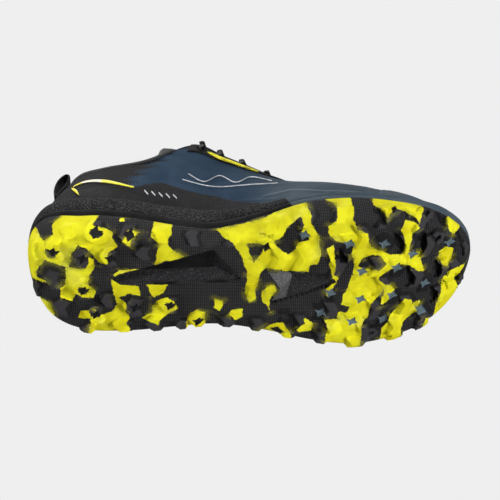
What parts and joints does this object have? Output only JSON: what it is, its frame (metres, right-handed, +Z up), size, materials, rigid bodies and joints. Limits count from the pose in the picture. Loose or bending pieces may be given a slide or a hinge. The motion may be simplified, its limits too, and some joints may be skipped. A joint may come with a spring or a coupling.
{
  "type": "running shoe",
  "caption": "Left low-cut trail running shoe with lugged marbled rubber outsole, two-layer foam midsole, laced knit upper, padded collar, bending forefoot and heel pull loop.",
  "frame": {"origin": "on the ground plane, at the centre of the shoe's bounding box in plan", "axes": "+X towards the toe, +Y towards the outer (lateral) side of this left shoe, +Z up"},
  "size_m": [0.295, 0.1169, 0.13],
  "materials": {
    "outsole_rubber": "marbled black and yellow rubber, satin",
    "lower_foam": "moulded foam with smooth skin, matt",
    "upper_foam": "moulded foam with speckled texture, matt",
    "board": "stitched fibre board",
    "sockliner": "brushed textile over foam",
    "knit_upper": "engineered mesh",
    "toe_film": "welded film with embossed ridges",
    "stiffener": "thermoformed sheet",
    "black_textile": "fine black textile",
    "padding": "soft foam",
    "lining": "brushed lining",
    "black_film": "welded film, satin",
    "yellow_trim": "printed film, satin",
    "lace_cord": "braided flat lace",
    "aglet": "clear-coated tip",
    "webbing": "woven webbing"
  },
  "bodies": {
    "rearfoot": {"outsole_rear": "outsole_rubber", "midsole_lower_rear": "lower_foam", "midsole_upper_rear": "upper_foam", "strobel_board_rear": "board", "sockliner_rear": "sockliner", "upper_quarters": "knit_upper", "heel_counter": "stiffener", "heel_panel": "black_textile", "collar_foam": "padding", "collar_lining": "lining", "medial_mudguard": "black_film", "lateral_mudguard": "black_film", "medial_eyestay": "black_film", "lateral_eyestay": "black_film", "medial_eyestay_piping": "yellow_trim", "lateral_eyestay_piping": "yellow_trim", "medial_heel_stripe": "yellow_trim", "lateral_heel_stripe": "yellow_trim", "tongue_body": "black_textile", "tongue_foam": "padding", "lace": "lace_cord", "medial_lace_aglet": "aglet", "lateral_lace_aglet": "aglet", "heel_tab_anchor": "webbing", "vamp_flex_zone": "knit_upper"},
    "forefoot": {"outsole_forefoot": "outsole_rubber", "midsole_lower_forefoot": "lower_foam", "midsole_upper_forefoot": "upper_foam", "strobel_board_forefoot": "board", "sockliner_forefoot": "sockliner", "vamp_toe_box": "knit_upper", "toe_overlay": "toe_film", "toe_puff": "stiffener"},
    "tongue_tip": {"tongue_top": "black_film"},
    "pull_tab": {"heel_pull_tab": "webbing"}
  },
  "joints": [
    {"name": "forefoot_flex", "type": "hinge", "parent": "rearfoot", "child": "forefoot", "pos_m": [0.0595, 0, 0.0283], "axis": [0, -1, 0], "range_deg": [0, 25], "stiffness_Nm_per_rad": 8, "deforming": ["vamp_flex_zone"]},
    {"name": "tongue_fold", "type": "hinge", "parent": "rearfoot", "child": "tongue_tip", "pos_m": [-0.0387, 0, 0.1192], "axis": [0, 1, 0], "range_deg": [0, 35], "stiffness_Nm_per_rad": 0.08},
    {"name": "pull_tab_swing", "type": "hinge", "parent": "rearfoot", "child": "pull_tab", "pos_m": [-0.1326, 0, 0.0883], "axis": [0, -1, 0], "range_deg": [0, 55], "stiffness_Nm_per_rad": 0.02}
  ]
}
